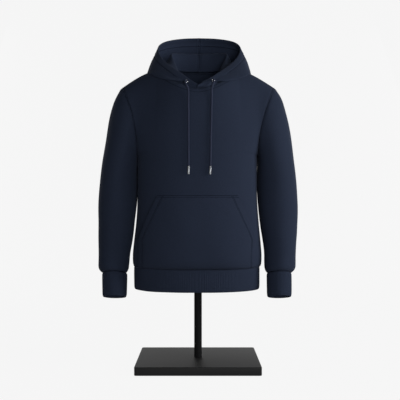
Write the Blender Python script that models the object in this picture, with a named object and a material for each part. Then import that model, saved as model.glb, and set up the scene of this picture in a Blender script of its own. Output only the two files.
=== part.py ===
"""Pullover hoodie filled out on a black post stand. Metres, +Z up, the front faces -Y."""
import bpy
import numpy as np
from math import cos, pi, radians, sin
from mathutils.kdtree import KDTree

for old in list(bpy.data.objects):
    bpy.data.objects.remove(old, do_unlink=True)

# ---- sizes -------------------------------------------------------------------------------
FLEECE = 0.0020          # wall of the body cloth
RIB = 0.0024             # wall of the rib knit
SEAM = 0.0003            # clear gap along every seam
UNDERARM_Z = 0.655       # lowest point of the armhole
SHOULDER_TIP = (0.239, 0.870)          # x, z of the armhole's top
NECK_POINT = (0.112, 0.008, 0.934)     # where shoulder seam and neck seam meet
NECK_FRONT = (-0.115, 0.8455)          # y, z of the neck seam at centre front
NECK_BACK = (0.062, 0.934)             # y, z at centre back
NECK_ROUND = 0.0062                    # rise of the front neck seam's rounded sides
HEM_SEAM_Z = 0.311
HEM_BOTTOM_Z = 0.243
CORD_D = 0.0055
AGLET_D = 0.0060
AGLET_L = 0.0240
BASE_W, BASE_D, BASE_T = 0.376, 0.260, 0.025
POST_D = 0.024

# torso sections: height, half width, depth in front, depth behind, roundness
TORSO = [
    (0.3113, 0.1955, 0.1310, 0.1135, 2.5),
    (0.3160, 0.1985, 0.1340, 0.1165, 2.5),
    (0.3260, 0.2003, 0.1365, 0.1190, 2.5),
    (0.3450, 0.2007, 0.1380, 0.1205, 2.5),
    (0.3800, 0.1980, 0.1380, 0.1200, 2.5),
    (0.4370, 0.1920, 0.1365, 0.1180, 2.5),
    (0.5100, 0.1870, 0.1345, 0.1160, 2.5),
    (0.5800, 0.1858, 0.1340, 0.1145, 2.5),
    (0.6550, 0.1860, 0.1340, 0.1140, 2.5),
]
# hem band sections, the same columns
HEM = [
    (0.3109, 0.1952, 0.1307, 0.1132, 2.5),
    (0.3070, 0.1956, 0.1314, 0.1140, 2.5),
    (0.2980, 0.1957, 0.1318, 0.1145, 2.5),
    (0.2700, 0.1957, 0.1315, 0.1145, 2.5),
    (0.2500, 0.1953, 0.1305, 0.1140, 2.5),
    (0.2430, 0.1935, 0.1285, 0.1120, 2.5),
]
# sleeve rings: outer x, z, inner x, z, centre y, half depth, inward bow, forward tilt in degrees
SLEEVE = [
    (0.2390, 0.8700, 0.1863, 0.6550, 0.002, 0.0700, 0.0165, 0),
    (0.2472, 0.8595, 0.1872, 0.6480, 0.002, 0.0745, 0.0140, 0),
    (0.2660, 0.8200, 0.1878, 0.6350, 0.003, 0.0780, 0.0090, 0),
    (0.2850, 0.7350, 0.1882, 0.6120, 0.004, 0.0780, 0.0030, 0),
    (0.3025, 0.6150, 0.1884, 0.5760, 0.004, 0.0730, 0.0, 0),
    (0.3103, 0.5100, 0.1898, 0.5050, -0.003, 0.0660, 0.0, 0),
    (0.3086, 0.4370, 0.1968, 0.4370, -0.011, 0.0600, 0.0, 2),
    (0.3062, 0.3610, 0.2078, 0.3610, -0.022, 0.0540, 0.0, 6),
    (0.3052, 0.3250, 0.2090, 0.3250, -0.029, 0.0510, 0.0, 9),
    (0.3035, 0.3080, 0.2098, 0.3080, -0.034, 0.0490, 0.0, 12),
    (0.2972, 0.2980, 0.2133, 0.2980, -0.037, 0.0455, 0.0, 14),
    (0.2893, 0.2930, 0.2180, 0.2930, -0.039, 0.0395, 0.0, 15),
]
CUFF = [
    (0.2888, 0.2925, 0.2185, 0.2925, -0.0392, 0.0390, 0.0, 15),
    (0.2911, 0.2890, 0.2156, 0.2890, -0.0400, 0.0410, 0.0, 15),
    (0.2911, 0.2780, 0.2151, 0.2780, -0.0430, 0.0410, 0.0, 15),
    (0.2890, 0.2450, 0.2147, 0.2450, -0.0520, 0.0400, 0.0, 15),
    (0.2878, 0.2290, 0.2147, 0.2290, -0.0560, 0.0395, 0.0, 15),
    (0.2858, 0.2215, 0.2167, 0.2215, -0.0580, 0.0375, 0.0, 15),
]
# hood, right half: way round the neck, crest x y z, bottom fold x y z, rim x y z
HOOD = [
    (0.00, -0.0060, -0.1150, 0.8485, -0.0060, -0.1165, 0.8510, -0.0060, -0.1165, 0.8545),
    (0.10, 0.0335, -0.1080, 0.8590, 0.0370, -0.1120, 0.8600, 0.0245, -0.1010, 0.8755),
    (0.20, 0.0520, -0.0830, 0.8800, 0.0770, -0.0965, 0.8735, 0.0570, -0.0720, 0.9040),
    (0.30, 0.0600, -0.0500, 0.9010, 0.1120, -0.0800, 0.8845, 0.0840, -0.0410, 0.9295),
    (0.40, 0.0630, -0.0120, 0.9260, 0.1430, -0.0560, 0.8975, 0.1090, -0.0080, 0.9570),
    (0.50, 0.0760, 0.0150, 0.9600, 0.1600, -0.0120, 0.9150, 0.1270, 0.0270, 0.9880),
    (0.60, 0.0880, 0.0430, 0.9930, 0.1650, 0.0500, 0.9100, 0.1330, 0.0580, 1.0170),
    (0.70, 0.0830, 0.0620, 1.0020, 0.1460, 0.1000, 0.8860, 0.1220, 0.0860, 1.0390),
    (0.80, 0.0620, 0.0770, 1.0050, 0.1100, 0.1350, 0.8690, 0.0960, 0.1090, 1.0540),
    (0.90, 0.0350, 0.0840, 1.0060, 0.0590, 0.1550, 0.8600, 0.0520, 0.1250, 1.0640),
    (1.00, 0.0000, 0.0860, 1.0060, 0.0000, 0.1610, 0.8570, 0.0000, 0.1300, 1.0670),
]
HOOD_SHIFT = 0.004       # the hood sits this far to the wearer's left
LEAN = 0.0034            # the garment's foot hangs this far to the wearer's right
FULL = 0.0035            # and its left sleeve stands this much further out
OVER_SEAM = 0.0115       # rise of the hood's inner layer where it passes over the neck seam
POCKET_TOP_Z, POCKET_CORNER_Z, POCKET_LOW_Z = 0.5287, 0.3980, 0.3125
POCKET_TOP_X, POCKET_CORNER_X, POCKET_LOW_X = 0.1190, 0.1715, 0.1745


# ---- small tools --------------------------------------------------------------------------
def unit(v):
    v = np.asarray(v, float)
    return v / np.maximum(np.linalg.norm(v, axis=-1, keepdims=True), 1e-12)


def table(rows, at):
    """Each column of a table as a smooth curve in its first column, monotone between rows."""
    rows = np.array(rows, float)
    if rows[0, 0] > rows[-1, 0]:
        rows = rows[::-1]
    x, y = rows[:, 0], rows[:, 1:]
    d = np.diff(y, axis=0) / np.diff(x)[:, None]
    m = np.vstack([d[:1], (d[1:] + d[:-1]) / 2, d[-1:]])
    flat = np.vstack([np.zeros((1, y.shape[1]), bool), d[1:] * d[:-1] <= 0,
                      np.zeros((1, y.shape[1]), bool)])
    m[flat] = 0
    at = np.clip(np.atleast_1d(at), x[0], x[-1])
    i = np.clip(np.searchsorted(x, at, side="right") - 1, 0, len(x) - 2)
    h = (x[i + 1] - x[i])[:, None]
    t = ((at - x[i]) / (x[i + 1] - x[i]))[:, None]
    return ((2 * t**3 - 3 * t**2 + 1) * y[i] + (t**3 - 2 * t**2 + t) * h * m[i]
            + (3 * t**2 - 2 * t**3) * y[i + 1] + (t**3 - t**2) * h * m[i + 1])


def spline(points, per):
    """Catmull-Rom through points[k], shape (k, ..., 3); per[k] steps in each span."""
    p = np.array(points, float)
    p = np.concatenate([[2 * p[0] - p[1]], p, [2 * p[-1] - p[-2]]])
    out = []
    for k, n in enumerate(per):
        a, b, c, d = p[k:k + 4]
        for t in np.arange(n) / n:
            out.append(0.5 * (2 * b + (c - a) * t + (2 * a - 5 * b + 4 * c - d) * t * t
                              + (3 * b - a - 3 * c + d) * t**3))
    return np.array(out + [p[-2]])


def grid_normals(g, wrap=False):
    if wrap:
        du = np.roll(g, -1, 1) - np.roll(g, 1, 1)
    else:
        du = np.gradient(g, axis=1)
    dv = np.gradient(g, axis=0)
    return unit(np.cross(du, dv))


def material(name, colour, rough, metal=0.0):
    m = bpy.data.materials.new(name)
    m.use_nodes = True
    p = m.node_tree.nodes["Principled BSDF"]
    p.inputs["Base Color"].default_value = (*colour, 1)
    p.inputs["Roughness"].default_value = rough
    p.inputs["Metallic"].default_value = metal
    m.diffuse_color = (*colour, 1)
    return m


def add(name, verts, faces, look):
    me = bpy.data.meshes.new(name)
    me.from_pydata([tuple(map(float, v)) for v in verts], [], faces)
    me.materials.append(material(name, *look))
    me.update()
    ob = bpy.data.objects.new(name, me)
    bpy.context.scene.collection.objects.link(ob)
    return ob


def settled(p):
    """Points of the garment as it hangs: its foot a little aside and its left sleeve fuller."""
    x, z = p[..., 0], p[..., 2]
    lean = LEAN * np.clip((0.75 - z) / 0.44, 0, 1)
    full = FULL * (np.clip((z - 0.34) / 0.07, 0, 1) * np.clip((0.875 - z) / 0.03, 0, 1)
                   * np.clip((x - 0.19) / 0.09, 0, 1))
    return np.stack([x - lean + full, p[..., 1], z], axis=-1)


def wall(name, outer, normals, thick, look, wrap=False, mirror=False):
    """A closed wall solid: a grid of outer points and the same grid moved in by the wall."""
    rows, cols = outer.shape[:2]
    inner = outer - normals * thick
    both = np.concatenate([outer.reshape(-1, 3), inner.reshape(-1, 3)])
    if mirror:
        both = both * np.array([-1, 1, 1])
    both = settled(both)
    n = rows * cols
    faces = []
    last = cols if wrap else cols - 1
    for r in range(rows - 1):
        for c in range(last):
            a, b = r * cols + c, r * cols + (c + 1) % cols
            d, e = a + cols, b + cols
            faces += [(a, b, e, d), (n + a, n + d, n + e, n + b)]
    for c in range(last):
        a, b = c, (c + 1) % cols
        faces.append((a, n + a, n + b, b))
        a, b = a + (rows - 1) * cols, b + (rows - 1) * cols
        faces.append((a, b, n + b, n + a))
    if not wrap:
        for r in range(rows - 1):
            a, d = r * cols, (r + 1) * cols
            faces.append((a, d, n + d, n + a))
            a, d = a + cols - 1, d + cols - 1
            faces.append((a, n + a, n + d, d))
    if mirror:
        faces = [f[::-1] for f in faces]
    return add(name, both, faces, look)


# colours and finishes of the sub-parts
NAVY = ((0.012, 0.020, 0.045), 0.9)
KNIT = ((0.011, 0.018, 0.041), 0.9)
CORD = ((0.020, 0.030, 0.062), 0.8)
SILVER = ((0.62, 0.63, 0.65), 0.3, 1.0)
BLACK = ((0.012, 0.012, 0.013), 0.45)
STEEL_BLACK = ((0.010, 0.010, 0.011), 0.4)


# ---- body panels --------------------------------------------------------------------------
def section(z, t, back, rows=TORSO):
    """Point of the torso at height z; t runs 0 at the centre line to 90 degrees at the side."""
    a, f, b, n = table(rows, z)[0]
    depth = b if back else -f
    c, s = max(cos(t), 0.0), sin(abs(t))
    side = 1 if t >= 0 else -1
    return np.array([side * a * s ** (2 / n), depth * c ** (2 / n), z])


def neck(s):
    """Neck seam: s is 0 at centre front, 0.5 at the neck point and 1 at centre back."""
    nx, ny, nz = NECK_POINT
    a = s * pi
    y0, z0 = NECK_FRONT if s <= 0.5 else NECK_BACK
    round_up = NECK_ROUND * sin(pi * s / 0.4) ** 1.5 if 0 < s < 0.4 else 0
    return np.array([nx * sin(a), ny + (y0 - ny) * abs(cos(a)),
                     nz + (z0 - nz) * abs(cos(a)) + round_up])


def neck_normal(s):
    a = s * pi
    return unit(np.array([0.72 * sin(a), -0.80 * cos(a), 0.55]))


def armhole(phi):
    """Armhole seam: phi is 0 at the shoulder tip, 90 degrees in front, 180 at the underarm."""
    (ox, oz, ix, iz, yc, hy, bow, _) = SLEEVE[0]
    c, s = cos(phi), sin(phi)
    return np.array([(ox + ix) / 2 + (ox - ix) / 2 * c - bow * s * s,
                     yc * (1 - c * c) - hy * s, (oz + iz) / 2 + (oz - iz) / 2 * c])


def armhole_normal(phi):
    c, s = cos(phi), sin(phi)
    n = np.array([0.25 * (1 + c) + 0.2 * s * s, -0.95 * s, c * (0.87 if c > 0 else 1.0)])
    t = unit(armhole(phi + 0.01) - armhole(phi - 0.01))
    return unit(n - t * np.dot(n, t))


HALF_COLS = 13           # columns of a panel from its centre line to its side edge
NECK_COLS = 6            # of them, to the neck point
ARM_STEPS = 12           # steps of the armhole seam from shoulder tip to underarm
NECK_SHARE = NECK_COLS / HALF_COLS


def top_edge(u, back):
    """Top edge of a panel at |u|: neck seam, then shoulder seam to the tip."""
    if u <= NECK_SHARE:
        w = u / NECK_SHARE
        return neck(1 - 0.5 * w if back else 0.5 * w)
    w = (u - NECK_SHARE) / (1 - NECK_SHARE)
    nx, ny, nz = NECK_POINT
    tx, tz = SHOULDER_TIP
    lift = 0.0068 * sin(pi * w) if w < 1 else 0
    return np.array([nx + (tx - nx) * w, ny * (1 - w), nz + (tz - nz) * w + lift])


def panel_point(u, v, back):
    """Upper panel: u -1..1 across, v 0 at underarm height to 1 at neck and shoulder seams."""
    side = 1 if u >= 0 else -1
    u = abs(u)
    low = section(UNDERARM_Z, u * pi / 2, back)
    top = top_edge(u, back)
    g, k = sin(v * pi / 2), cos(v * pi / 2)
    p = np.array([low[0] + (top[0] - low[0]) * v ** 1.2,
                  top[1] + (low[1] - top[1]) * k ** 0.85,
                  low[2] + (top[2] - low[2]) * g])
    # the side edge runs along the armhole seam
    edge_low, edge_top = section(UNDERARM_Z, pi / 2, back), top_edge(1.0, back)
    h = g * g
    phi = np.arccos(np.clip(2 * g - 1, -1, 1))
    seam = armhole(phi if not back else -phi)
    plain = np.array([edge_low[0] + (edge_top[0] - edge_low[0]) * v ** 1.2, 0.0,
                      edge_low[2] + (edge_top[2] - edge_low[2]) * g])
    p = p + (seam - plain) * u ** 4
    return p * np.array([side, 1, 1])


def panel(back):
    cols = np.arange(-HALF_COLS, HALF_COLS + 1) / HALF_COLS
    zs = [0.3113, 0.3160, 0.3240, 0.3400, 0.3660, 0.4100, 0.4700, 0.5400, 0.6100]
    phis = pi - np.arange(ARM_STEPS + 1) * pi / ARM_STEPS
    vs = 2 / pi * np.arcsin((1 + np.cos(phis)) / 2)
    rows = [[section(z, u * pi / 2, back) for u in cols] for z in zs]
    rows += [[panel_point(u, v, back) for u in cols] for v in vs]
    g = np.array(rows)
    n = grid_normals(g)
    if back:
        n = -n
    half = SEAM / 2 * (1 if back else -1)
    flat = np.array([1, 0, 1])
    low = len(zs)
    # side seams and shoulder seams: the walls' ends lie in the seam's plane
    for c in (0, -1):
        n[:low + 1, c] = unit(n[:low + 1, c] * flat)
        g[:low + 1, c, 1] = half
    for i, u in enumerate(cols):
        if abs(u) > NECK_SHARE - 1e-6:
            side = 1 if u > 0 else -1
            n[-1, i] = unit([side * 0.40, 0, 0.92])
            g[-1, i, 1] += half
        else:
            w = abs(u) / NECK_SHARE * 0.5
            m = neck_normal(1 - w if back else w)
            n[-1, i] = m * np.array([1 if u >= 0 else -1, 1, 1])
    # the armhole edge ends square to the shared seam
    for r, phi in enumerate(phis):
        m = armhole_normal(phi if not back else -phi)
        if r in (0, ARM_STEPS):
            m = unit(m * flat)
        for c, side in ((0, -1), (-1, 1)):
            n[low + r, c] = m * np.array([side, 1, 1])
    for c in (0, -1):
        g[low, c, 1] = half
    if back:
        g, n = g[:, ::-1], n[:, ::-1]
    return g, n


front_grid, front_n = panel(False)
back_grid, back_n = panel(True)
wall("body_front", front_grid, front_n, FLEECE, NAVY)
wall("body_back", back_grid, back_n, FLEECE, NAVY)


# ---- sleeves and cuffs ---------------------------------------------------------------------
def ring(row, phis, first=False):
    ox, oz, ix, iz, yc, hy, bow, tilt = row
    tip = radians(tilt)
    out = []
    for phi in phis:
        c, s = cos(phi), sin(phi)
        out.append([(ox + ix) / 2 + (ox - ix) / 2 * c - bow * s * s,
                    yc - hy * s * cos(tip), (oz + iz) / 2 + (oz - iz) / 2 * c + hy * s * sin(tip)])
    if first:
        out = []
        for phi in phis:
            n = armhole_normal(phi)
            t = unit(armhole(phi + 0.01) - armhole(phi - 0.01))
            out.append(armhole(phi) + SEAM * 1.2 * unit(np.cross(n, t)))
    return out


def tube_wall(name, rings, per, phis, thick, look, mirror, seam=False):
    g = spline(rings, per)
    n = grid_normals(g, wrap=True)
    if seam:
        n[0] = [armhole_normal(p) for p in phis]
    return wall(name, g, n, thick, look, wrap=True, mirror=mirror)


AROUND = np.arange(2 * ARM_STEPS) * pi / ARM_STEPS
sleeve_rings = [ring(r, AROUND, k == 0) for k, r in enumerate(SLEEVE)]
cuff_rings = [ring(r, AROUND) for r in CUFF]
for side, flip in (("right", False), ("left", True)):
    tube_wall("sleeve_" + side, sleeve_rings, [1, 2, 2, 2, 2, 1, 2, 1, 1, 1, 1], AROUND, FLEECE,
              NAVY, flip, seam=True)
    tube_wall("cuff_" + side, cuff_rings, [1] * 5, AROUND, RIB, KNIT, flip)

# ---- hem band -------------------------------------------------------------------------------
hem = []
for row in HEM:
    turns = np.arange(-HALF_COLS, HALF_COLS + 1) * pi / 2 / HALF_COLS
    hem.append([section(row[0], t, False, HEM) for t in turns]
               + [section(row[0], -t, True, HEM) for t in turns[1:-1]])
hem = np.array(hem)[:, ::-1]
wall("hem_band", hem, grid_normals(hem, wrap=True), RIB, KNIT, wrap=True)


# ---- hood ---------------------------------------------------------------------------------
def body_skin():
    """Points on both upper body panels and the way out at each."""
    skin = []
    for back in (False, True):
        g = np.array([[panel_point(u, v, back) for u in np.linspace(-1, 1, 61)]
                      for v in np.linspace(0, 1, 41)])
        n = grid_normals(g) * (-1 if back else 1)
        skin.append((g.reshape(-1, 3), n.reshape(-1, 3)))
    return [np.concatenate(k) for k in zip(*skin)]


SKIN, SKIN_OUT = body_skin()
SKIN_TREE = KDTree(len(SKIN))
for i, p in enumerate(SKIN):
    SKIN_TREE.insert(p, i)
SKIN_TREE.balance()


HOOD_CLEAR = 0.0042      # least distance of the folded hood's outer face from the body's skin
SOFT = 0.0015            # a push grows smoothly over this much either side of that distance
REACH, FADE = 0.012, 0.004             # a skin point further aside than this no longer pushes
NEAR_WEIGHT = 0.006      # distance aside over which a skin point's say falls off
DAMPING = 0.8            # share of the wanted push made in each round


def clear_of_body(g):
    """Points of a grid, each moved straight out of the body's skin where it's too near."""
    flat = g.reshape(-1, 3).copy()
    for _ in range(3):
        near = np.array([[k for _, k, _ in SKIN_TREE.find_n(p, 8)] for p in flat])
        step, out = flat[:, None] - SKIN[near], SKIN_OUT[near]
        d = (step * out).sum(2)
        aside = np.linalg.norm(step - d[..., None] * out, axis=2)
        need = HOOD_CLEAR - d
        ease = np.where(need > -SOFT, (need + SOFT) ** 2 / (4 * SOFT), 0)
        push = np.where(need > SOFT, need, ease) * np.clip((REACH - aside) / FADE, 0, 1)
        w = np.exp(-(aside / NEAR_WEIGHT) ** 2) + 1e-9
        flat += (w[..., None] * push[..., None] * out).sum(1) / w.sum(1)[:, None] * DAMPING
    return flat.reshape(g.shape)


def eased(t):
    """0 to 1, level at both ends."""
    t = min(1.0, max(0.0, t))
    return t * t * (3 - 2 * t)


# ways round the neck between which the hood's edge turns from standing up to folded over
FOLD_START, FOLD_END = 0.08, 0.22
LAP = {True: 0.0066, False: -0.0036}   # the right half lies in front of the left one at the V


def hood_half(ways, per, right):
    """Grid over one hood half: round the neck by the way over the fold from neck seam to rim."""
    rows = []
    for s, v in zip(ways, table(HOOD, ways)):
        k = s * 2 * NECK_COLS
        low = min(int(k + 1e-9), 2 * NECK_COLS - 1)
        ends = neck(low / (2 * NECK_COLS)), neck((low + 1) / (2 * NECK_COLS))
        near = max(0.0, 1 - s / 0.12)
        seam = ends[0] + (ends[1] - ends[0]) * (k - low) + [-0.006 * near, 0, 0.0017 + 0.0012 * near]
        crest, fold, rim = v[:3], v[3:6], v[6:]
        over = (crest + fold) / 2 + [0, 0, OVER_SEAM * max(0, sin(pi * s / 0.75)) if s < 0.75 else 0]
        side = (fold + rim) / 2
        bulge = 0.004 * min(1, s / 0.3) + 0.012 * min(1, max(0, (s - 0.35) / 0.5))
        side = side + unit(np.array([side[0], side[1] - 0.02, 0])) * bulge
        folded = np.array([seam, crest, over, fold, side, rim])
        t = np.linspace(0, 1, 6)[:, None]
        upright = seam + (rim - seam) * t + np.array([0, -0.003, 0]) * np.sin(pi * t)
        line = upright + (folded - upright) * eased((s - FOLD_START) / (FOLD_END - FOLD_START))
        line = line * [1 if right else -1, 1, 1]
        line[1:, 0] += HOOD_SHIFT
        lap = LAP[right] * min(1.0, max(0.0, (0.24 - s) / 0.16))
        rows.append(spline(line, per) - [0, lap, 0])
    g = np.array(rows)
    g[:, 1:] = clear_of_body(g[:, 1:])
    g[-1, :, 0] += (SEAM / 2) * (1 if right else -1)
    n = grid_normals(g)
    if right:
        n = -n
    for i, s in enumerate(ways):
        m = neck_normal(s)
        n[i, 0] = m * [1 if right else -1, 1, 1]
    n[-1] = unit(n[-1] * [0, 1, 1])
    return g, n


HOOD_PER = [2, 4, 3, 4, 3]
WAYS = np.array([0, 0.5, 1, 1.5, 2, 2.5, 3, 3.5, 4, 4.5, 5, 5.5, 6, 7, 8, 9, 10, 11, 12]) / 12
for side, right in (("right", True), ("left", False)):
    g, n = hood_half(WAYS, HOOD_PER, right)
    if right:
        g, n = g[::-1], n[::-1]
    wall("hood_" + side, g, n, 0.0021, NAVY)


# ---- pocket ----------------------------------------------------------------------------------
def body_front_at(x, z):
    """Point and level outward direction of the front panel below the underarm."""
    a, f, _, n = table(TORSO, z)[0]
    q = min(abs(x) / a, 0.999)
    y = -f * (1 - q ** n) ** (1 / n)
    grad = np.array([np.sign(x) * q ** (n - 1) / a, -(abs(y) / f) ** (n - 1) / f, 0])
    return np.array([x, y, z]), unit(grad)


def pocket_half_width(z):
    if z >= POCKET_CORNER_Z:
        k = (z - POCKET_CORNER_Z) / (POCKET_TOP_Z - POCKET_CORNER_Z)
        return POCKET_CORNER_X + (POCKET_TOP_X - POCKET_CORNER_X) * k
    k = (z - POCKET_LOW_Z) / (POCKET_CORNER_Z - POCKET_LOW_Z)
    return POCKET_LOW_X + (POCKET_CORNER_X - POCKET_LOW_X) * k


POCKET_STAND = 0.0090    # how far the pocket stands off the panel at its middle
pocket_rows, pocket_out = [], []
for z in (0.3125, 0.3180, 0.3260, 0.3400, 0.3660, 0.3980, 0.4250, 0.4550, 0.4850, 0.5100, 0.5220,
          0.5287):
    wide = pocket_half_width(z)
    up = (z - POCKET_LOW_Z) / (POCKET_TOP_Z - POCKET_LOW_Z)
    rise = sin(pi * min(max(up, 0), 1)) ** 0.6
    shut = min(max((POCKET_CORNER_Z + 0.02 - z) / 0.05, 0), 1)
    row, dirs = [], []
    for u in np.linspace(-1, 1, 19):
        p, out = body_front_at(u * wide, z)
        edge = (1 - 0.3 * u * u) * (1 - shut) + (1 - u ** 6) * shut
        row.append(p + out * (0.0014 + FLEECE + POCKET_STAND * rise * edge))
        dirs.append(out)
    pocket_rows.append(row)
    pocket_out.append(dirs)
wall("pocket", np.array(pocket_rows), np.array(pocket_out), FLEECE, NAVY)


# ---- eyelets, drawcords and tips --------------------------------------------------------------
EYELET_R, EYELET_WIRE = 0.0046, 0.0011
# centre of each eyelet and the way it faces
EYELETS = {
    "right": ((0.0455, -0.1092, 0.8715), (0.17, -0.81, 0.56)),
    "left": ((-0.0355, -0.1033, 0.8696), (-0.19, -0.93, 0.32)),
}
# each cord from its eyelet down to its tip
ROUTES = {
    "right": [
        (0.0456, -0.1097, 0.8718),
        (0.0461, -0.1124, 0.8737),
        (0.0467, -0.1158, 0.8732),
        (0.0470, -0.1192, 0.8695),
        (0.0466, -0.1222, 0.8640),
        (0.0455, -0.1235, 0.8585),
        (0.0430, -0.1240, 0.8520),
        (0.0410, -0.1246, 0.8450),
        (0.0405, -0.1256, 0.8360),
        (0.0405, -0.1275, 0.8200),
        (0.0400, -0.1300, 0.7990),
        (0.0395, -0.1320, 0.7780),
        (0.0390, -0.1338, 0.7540),
        (0.0385, -0.1350, 0.7320),
        (0.0380, -0.1362, 0.7050),
        (0.0375, -0.1368, 0.6770),
        (0.0370, -0.1370, 0.6500),
        (0.0362, -0.1370, 0.6150),
    ],
    "left": [
        (-0.0356, -0.1039, 0.8698),
        (-0.0362, -0.1070, 0.8708),
        (-0.0368, -0.1115, 0.8700),
        (-0.0371, -0.1172, 0.8660),
        (-0.0363, -0.1225, 0.8605),
        (-0.0345, -0.1248, 0.8550),
        (-0.0315, -0.1257, 0.8490),
        (-0.0290, -0.1265, 0.8420),
        (-0.0283, -0.1275, 0.8330),
        (-0.0282, -0.1295, 0.8170),
        (-0.0282, -0.1318, 0.7960),
        (-0.0280, -0.1336, 0.7750),
        (-0.0280, -0.1350, 0.7500),
        (-0.0279, -0.1360, 0.7290),
        (-0.0278, -0.1368, 0.7030),
        (-0.0277, -0.1372, 0.6760),
        (-0.0276, -0.1374, 0.6480),
        (-0.0275, -0.1374, 0.6150),
    ],
}


def disc_rings(centre, axis, turns, radii_heights):
    """Rings of points about an axis, one for each (radius, height along the axis)."""
    axis = unit(axis)
    side = unit(np.cross(axis, [0, 0, 1] if abs(axis[2]) < 0.99 else [0, 1, 0]))
    up = np.cross(axis, side)
    a = np.arange(turns) * 2 * pi / turns
    return [np.array([centre + axis * h + r * (side * cos(t) + up * sin(t)) for t in a])
            for r, h in radii_heights]


def lathe(name, rings, look, closed=False):
    """A solid skinned over rings of equal count; closed joins the last ring to the first."""
    n = len(rings[0])
    verts = np.concatenate(rings)
    faces = []
    count = len(rings)
    for r in range(count if closed else count - 1):
        for c in range(n):
            a, b = r * n + c, r * n + (c + 1) % n
            d, e = ((r + 1) % count) * n + c, ((r + 1) % count) * n + (c + 1) % n
            faces.append((a, b, e, d))
    if not closed:
        faces.append(tuple(range(n))[::-1])
        faces.append(tuple(range((count - 1) * n, count * n)))
    return add(name, verts, faces, look)


def smooth_route(route):
    """Points a little over two diameters apart on the smooth curve through a route."""
    gaps = np.linalg.norm(np.diff(np.array(route), axis=0), axis=1)
    return spline(route, [max(1, round(gap / (2.3 * CORD_D))) for gap in gaps])


def cord_tube(name, points):
    curve = bpy.data.curves.new(name, "CURVE")
    curve.dimensions = "3D"
    curve.bevel_depth = CORD_D / 2
    curve.bevel_resolution = 2
    curve.use_fill_caps = True
    line = curve.splines.new("POLY")
    line.points.add(len(points) - 1)
    for p, q in zip(line.points, points):
        p.co = (*q, 1)
    curve.materials.append(material(name, *CORD))
    bpy.context.scene.collection.objects.link(bpy.data.objects.new(name, curve))


EYELET_TURN = [(EYELET_R + EYELET_WIRE * cos(a), EYELET_WIRE * sin(a)) for a in np.arange(8) * pi / 4]
AGLET_TURN = [(AGLET_D / 2 - 0.0006, 0), (AGLET_D / 2, 0.0006), (AGLET_D / 2, AGLET_L - 0.0008),
              (AGLET_D / 2 - 0.0008, AGLET_L)]
for side in ("right", "left"):
    centre, axis = EYELETS[side]
    lathe("eyelet_" + side, disc_rings(np.array(centre), axis, 18, EYELET_TURN), SILVER, closed=True)
    points = smooth_route(ROUTES[side])
    cord_tube("drawcord_" + side, points)
    down = unit(points[-1] - points[-2])
    lathe("aglet_" + side, disc_rings(points[-1] + down * SEAM, down, 14, AGLET_TURN), SILVER)

# ---- stand ---------------------------------------------------------------------------------------
corner = 0.007
outline = []
for qx, qy, start in ((1, 1, 0), (-1, 1, 1), (-1, -1, 2), (1, -1, 3)):
    for k in range(5):
        a = (start + k / 4) * pi / 2
        outline.append((qx * (BASE_W / 2 - corner), qy * (BASE_D / 2 - corner), cos(a), sin(a)))
layers = [(corner - 0.0010, 0), (corner, 0.0010), (corner, BASE_T - 0.0015), (corner - 0.0015, BASE_T)]
rings = [np.array([[x + r * c, y + r * s, z] for x, y, c, s in outline]) for r, z in layers]
lathe("stand_base", rings, BLACK)

YOKE_T = 0.016
YOKE_MID_Z = 0.850
post = [(POST_D / 2, BASE_T + SEAM), (POST_D / 2, YOKE_MID_Z - YOKE_T - SEAM)]
lathe("stand_post", disc_rings(np.zeros(3), [0, 0, 1.0], 24, post), STEEL_BLACK)

yoke = []
for x in np.linspace(-0.195, 0.195, 25):
    u = NECK_SHARE + (1 - NECK_SHARE) * (abs(x) - NECK_POINT[0]) / (SHOULDER_TIP[0] - NECK_POINT[0])
    ridge = top_edge(max(u, NECK_SHARE + 1e-6), False)
    top = ridge[2] - FLEECE - 0.0016
    dip = eased((0.150 - abs(x)) / 0.110)
    top = top * (1 - dip) + YOKE_MID_Z * dip
    mid = ridge[1] * (1 - dip)
    half = 0.015 - 0.0075 * min(max((abs(x) - 0.135) / 0.045, 0), 1)
    yoke.append([[x, mid + half * a, top - d] for a, d in
                 ((0, 0), (0.55, 0.0008), (1, 0.0045), (1, YOKE_T - 0.003), (0.7, YOKE_T),
                  (-0.7, YOKE_T), (-1, YOKE_T - 0.003), (-1, 0.0045), (-0.55, 0.0008))][::-1])
lathe("shoulder_yoke", [np.array(r) for r in yoke], STEEL_BLACK)
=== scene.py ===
"""Pullover hoodie on its stand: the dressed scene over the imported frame."""
from math import cos, exp, pi, radians, sin

import bpy
import numpy as np
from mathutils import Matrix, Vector
from mathutils.kdtree import KDTree


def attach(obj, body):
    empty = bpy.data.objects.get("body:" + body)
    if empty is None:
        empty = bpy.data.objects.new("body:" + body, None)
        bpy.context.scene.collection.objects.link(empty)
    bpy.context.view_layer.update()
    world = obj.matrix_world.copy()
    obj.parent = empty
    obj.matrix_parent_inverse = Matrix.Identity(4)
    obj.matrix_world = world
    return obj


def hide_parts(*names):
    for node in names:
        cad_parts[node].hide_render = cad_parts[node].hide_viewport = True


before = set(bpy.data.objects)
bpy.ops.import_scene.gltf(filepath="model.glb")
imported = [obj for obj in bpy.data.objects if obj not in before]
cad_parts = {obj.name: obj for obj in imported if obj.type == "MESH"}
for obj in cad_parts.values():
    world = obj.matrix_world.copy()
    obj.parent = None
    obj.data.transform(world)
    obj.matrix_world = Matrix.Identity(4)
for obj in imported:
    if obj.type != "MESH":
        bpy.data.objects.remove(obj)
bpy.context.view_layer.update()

# ---- sizes ----
FLEECE = 0.0020          # wall of the body cloth
RIB = 0.0024             # wall of the rib knit
SEAM = 0.0003            # clear gap along every seam
UNDERARM_Z = 0.655       # lowest point of the armhole
SHOULDER_TIP = (0.239, 0.870)          # x, z of the armhole's top
NECK_POINT = (0.112, 0.008, 0.934)     # where shoulder seam and neck seam meet
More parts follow.
